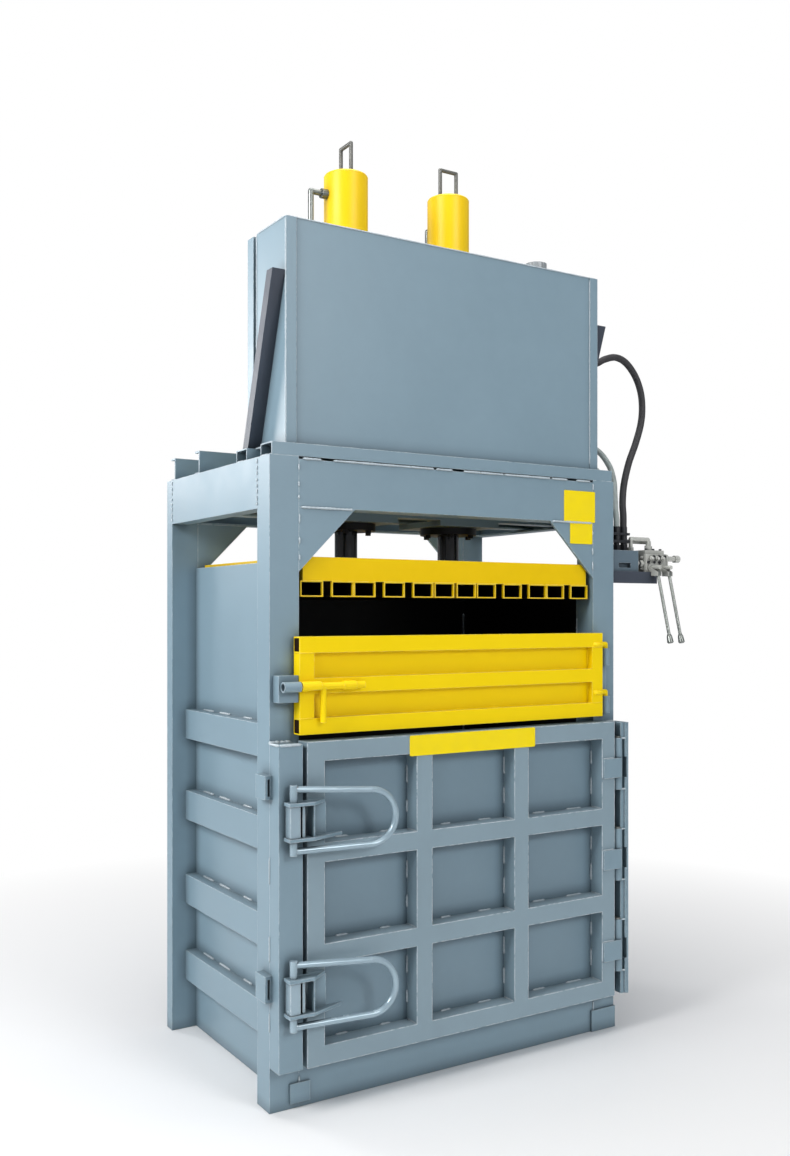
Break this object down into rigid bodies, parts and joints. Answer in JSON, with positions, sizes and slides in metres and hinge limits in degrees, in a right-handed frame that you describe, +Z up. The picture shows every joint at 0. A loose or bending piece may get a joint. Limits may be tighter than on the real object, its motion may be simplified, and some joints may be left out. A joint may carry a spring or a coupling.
{
  "type": "recycling baler",
  "caption": "Upright hydraulic recycling baler: welded frame and chamber, ribbed main door with loop latches, bolted feed door, twin-cylinder platen, top oil tank, motor pump and lever valve.",
  "frame": {"origin": "on the floor at the middle of the base, under the centre runner", "axes": "+Z up, front doors face -Y, +X to the right seen from the front"},
  "size_m": [1.808, 1.0009, 3.182],
  "materials": {
    "grey_paint": "semi-gloss blue-grey enamel over welded steel",
    "yellow_paint": "semi-gloss bright yellow enamel",
    "slate_paint": "satin dark slate enamel",
    "bare_steel": "bright zinc plate",
    "dark_steel": "dark oiled steel",
    "black_plastic": "matt black",
    "black_rubber": "matt hose cover",
    "grey_rubber": "grey-green hose cover"
  },
  "bodies": {
    "frame": {"base_frame": "grey_paint", "floor_plate": "dark_steel", "front_post_left": "grey_paint", "front_post_right": "grey_paint", "rear_post_left": "grey_paint", "rear_post_right": "grey_paint", "side_panel_left": "grey_paint", "side_panel_right": "grey_paint", "wall_ribs": "grey_paint", "back_panel": "grey_paint", "front_beam": "grey_paint", "side_beams": "grey_paint", "rear_beam": "grey_paint", "corner_gussets": "grey_paint", "cross_members": "grey_paint", "cylinder_crosshead": "grey_paint", "lock_column": "grey_paint", "hinge_column": "grey_paint", "hinge_knuckles": "grey_paint", "hinge_pins": "bare_steel", "bolt_receiver": "grey_paint", "feed_hinge_bracket": "grey_paint", "side_lugs": "grey_paint", "oil_tank": "grey_paint", "tank_uprights": "grey_paint", "tank_braces": "slate_paint", "filler_cap": "black_plastic", "tank_adapter": "bare_steel", "cylinder_left": "yellow_paint", "cylinder_right": "yellow_paint", "lifting_handles": "bare_steel", "cylinder_pipes": "bare_steel", "motor_base": "slate_paint", "motor": "slate_paint", "pump_housing": "grey_paint", "pump": "bare_steel", "valve_bracket": "slate_paint", "manifold_block": "grey_paint", "valve_body": "bare_steel", "valve_pipes": "bare_steel", "hose_fittings": "dark_steel", "hose_return": "black_rubber", "hose_pressure": "grey_rubber", "hose_cylinder": "grey_rubber"},
    "platen": {"platen_tubes": "yellow_paint", "platen_beams": "yellow_paint", "piston_rods": "dark_steel"},
    "main_door": {"main_door_sheet": "grey_paint", "main_door_frame": "grey_paint", "main_door_straps": "grey_paint", "latch_ears": "grey_paint"},
    "upper_latch": {"latch_upper": "grey_paint"},
    "lower_latch": {"latch_lower": "grey_paint"},
    "feed_door": {"feed_door": "yellow_paint"},
    "feed_bolt": {"feed_bolt": "yellow_paint"},
    "left_lever": {"lever_left": "bare_steel"},
    "right_lever": {"lever_right": "bare_steel"},
    "left_spool": {"spool_left": "bare_steel"},
    "right_spool": {"spool_right": "bare_steel"},
    "pump_drive": {"drive_shaft": "bare_steel"}
  },
  "joints": [
    {"name": "platen_press", "type": "slide", "parent": "frame", "child": "platen", "axis": [0, 0, -1], "range_m": [0, 0.95]},
    {"name": "main_door_swing", "type": "hinge", "parent": "frame", "child": "main_door", "pos_m": [0.67, -0.482, 0.634], "axis": [0, 0, 1], "range_deg": [0, 95]},
    {"name": "upper_latch_turn", "type": "hinge", "parent": "main_door", "child": "upper_latch", "pos_m": [-0.665, -0.524, 0.898], "axis": [0, 0, 1], "range_deg": [-150, 5]},
    {"name": "lower_latch_turn", "type": "hinge", "parent": "main_door", "child": "lower_latch", "pos_m": [-0.665, -0.524, 0.373], "axis": [0, 0, 1], "range_deg": [-150, 5]},
    {"name": "feed_door_swing", "type": "hinge", "parent": "frame", "child": "feed_door", "pos_m": [0.636, -0.457, 1.3], "axis": [0, 0, 1], "range_deg": [0, 120]},
    {"name": "feed_bolt_slide", "type": "slide", "parent": "feed_door", "child": "feed_bolt", "axis": [1, 0, 0], "range_m": [-0.045, 0]},
    {"name": "left_lever_tilt", "type": "hinge", "parent": "frame", "child": "left_lever", "pos_m": [0.909, -0.45, 1.67], "axis": [1, 0, 0], "range_deg": [-12, 12], "stiffness_Nm_per_rad": 20},
    {"name": "right_lever_tilt", "type": "hinge", "parent": "frame", "child": "right_lever", "pos_m": [0.967, -0.45, 1.67], "axis": [1, 0, 0], "range_deg": [-12, 12], "stiffness_Nm_per_rad": 20},
    {"name": "left_spool_shift", "type": "slide", "parent": "frame", "child": "left_spool", "axis": [0, -1, 0], "range_m": [-0.0053, 0.0053]},
    {"name": "right_spool_shift", "type": "slide", "parent": "frame", "child": "right_spool", "axis": [0, -1, 0], "range_m": [-0.0053, 0.0053]},
    {"name": "pump_drive_turn", "type": "hinge", "parent": "frame", "child": "pump_drive", "pos_m": [-0.06, 0.278, 2.237], "axis": [1, 0, 0], "continuous": true}
  ],
  "couplings": [
    {"joint": "left_spool_shift", "follows": "left_lever_tilt", "m_per_rad": 0.025},
    {"joint": "right_spool_shift", "follows": "right_lever_tilt", "m_per_rad": 0.025}
  ]
}
